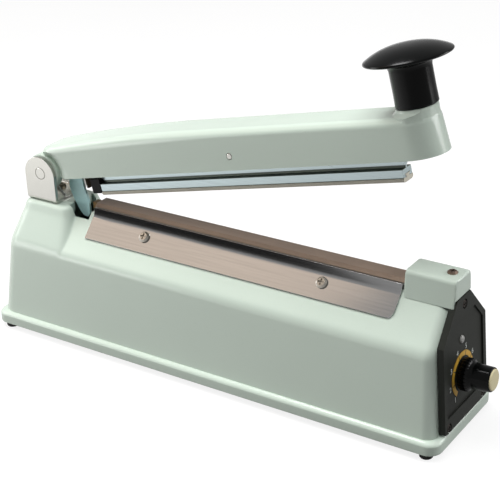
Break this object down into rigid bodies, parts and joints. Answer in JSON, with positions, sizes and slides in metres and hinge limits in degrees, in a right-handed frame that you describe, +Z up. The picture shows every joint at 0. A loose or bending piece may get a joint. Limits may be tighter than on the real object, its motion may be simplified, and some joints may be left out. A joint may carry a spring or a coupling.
{
  "type": "impulse heat sealer",
  "caption": "Tabletop heat sealer: a long painted housing with a heated sealing bed along its ridge, a hinged lever arm carrying a silicone-faced bar, and a timer knob at one end.",
  "frame": {"origin": "middle of the footprint box, on the surface that the rubber feet stand on", "axes": "+X along the housing towards the timer dial, +Z up, +Y across to the far side"},
  "size_m": [0.339, 0.075, 0.2211],
  "materials": {
    "paint": "pale green-grey stoved enamel, satin gloss",
    "stainless": "brushed along the length",
    "nickel_plate": "satin nickel plate",
    "bar_aluminium": "anodised extrusion",
    "bed_aluminium": "plain extrusion",
    "silicone": "matt grey silicone",
    "release_cloth": "woven cloth with a slippery brown coating",
    "ribbon": "resistance ribbon",
    "terminal_brass": "plain brass",
    "tongue_plastic": "pale blue-green moulding",
    "gloss_black": "polished black moulding",
    "panel_plastic": "fine-grained dark moulding",
    "dial_print": "gold band with dark tick lines",
    "knob_cream": "cream insert",
    "lens": "frosted grey lens",
    "bulb_glass": "clear glass",
    "black_rubber": "matt black rubber",
    "bright_screw": "zinc plated",
    "dark_screw": "blackened",
    "dark_steel": "oiled dark sheet",
    "sheet_steel": "plain steel",
    "winding": "varnished copper winding under tape",
    "inner_plastic": "dark moulding",
    "button_plastic": "red moulding",
    "board": "green circuit board"
  },
  "bodies": {
    "base": {"housing": "paint", "base_plate": "sheet_steel", "seal_bed": "bed_aluminium", "heating_element": "ribbon", "seal_cloth": "release_cloth", "cover_plate_near": "stainless", "cover_plate_far": "stainless", "terminal_rear": "terminal_brass", "terminal_front": "terminal_brass", "front_cap": "paint", "hinge_bracket": "nickel_plate", "hinge_pin": "nickel_plate", "return_spring": "sheet_steel", "transformer_core": "sheet_steel", "transformer_coil": "winding", "transformer_strap": "sheet_steel", "microswitch": "inner_plastic", "switch_bracket": "sheet_steel", "rubber_foot_1": "black_rubber", "base_screw_1": "bright_screw", "rubber_foot_2": "black_rubber", "base_screw_2": "bright_screw", "rubber_foot_3": "black_rubber", "base_screw_3": "bright_screw", "rubber_foot_4": "black_rubber", "base_screw_4": "bright_screw", "cover_screw_near_1": "bright_screw", "cover_screw_far_1": "bright_screw", "cover_screw_near_2": "bright_screw", "cover_screw_far_2": "bright_screw", "bracket_screw_1": "bright_screw", "bracket_screw_2": "bright_screw", "cap_screw": "dark_screw", "end_panel": "panel_plastic", "dial_band": "dial_print", "timer_body": "inner_plastic", "timer_nut": "nickel_plate", "lamp_lens": "lens", "lamp_bulb": "bulb_glass", "circuit_board": "board", "panel_screw_1": "dark_screw", "panel_screw_2": "dark_screw", "panel_screw_3": "dark_screw", "cord_gland": "black_rubber"},
    "lever": {"lever_arm": "paint", "switch_tongue": "tongue_plastic", "tongue_holder": "dark_steel", "tongue_screw": "bright_screw", "handle": "gloss_black", "handle_screw": "bright_screw", "bar_pivot_pin": "nickel_plate"},
    "bar": {"pressure_bar": "bar_aluminium", "silicone_strip": "silicone", "bar_hanger": "nickel_plate", "bar_end_block": "panel_plastic"},
    "timer": {"timer_knob": "gloss_black", "knob_cap": "knob_cream", "timer_shaft": "nickel_plate"},
    "button": {"switch_button": "button_plastic"}
  },
  "joints": [
    {"name": "lever_hinge", "type": "hinge", "parent": "base", "child": "lever", "pos_m": [-0.13653, 0, 0.1062], "axis": [0, 1, 0], "range_deg": [0, 11.97], "stiffness_Nm_per_rad": 2, "springref_deg": -40.11, "deforming": ["return_spring"]},
    {"name": "bar_rock", "type": "hinge", "parent": "lever", "child": "bar", "pos_m": [0.00926, 0, 0.14457], "axis": [0, 1, 0], "range_deg": [0, 1.33]},
    {"name": "timer_turn", "type": "hinge", "parent": "base", "child": "timer", "pos_m": [0.15873, -0.0025, 0.04027], "axis": [0.9982, 0, 0.0599], "range_deg": [-143, 143]},
    {"name": "button_press", "type": "slide", "parent": "base", "child": "button", "axis": [0, 0, -1], "range_m": [0, 0.0006], "stiffness_N_per_m": 40, "springref_m": -0.001}
  ],
  "couplings": [
    {"joint": "bar_rock", "follows": "lever_hinge", "ratio": 0.11119},
    {"joint": "button_press", "follows": "lever_hinge", "m_per_rad": 0.0028719}
  ]
}
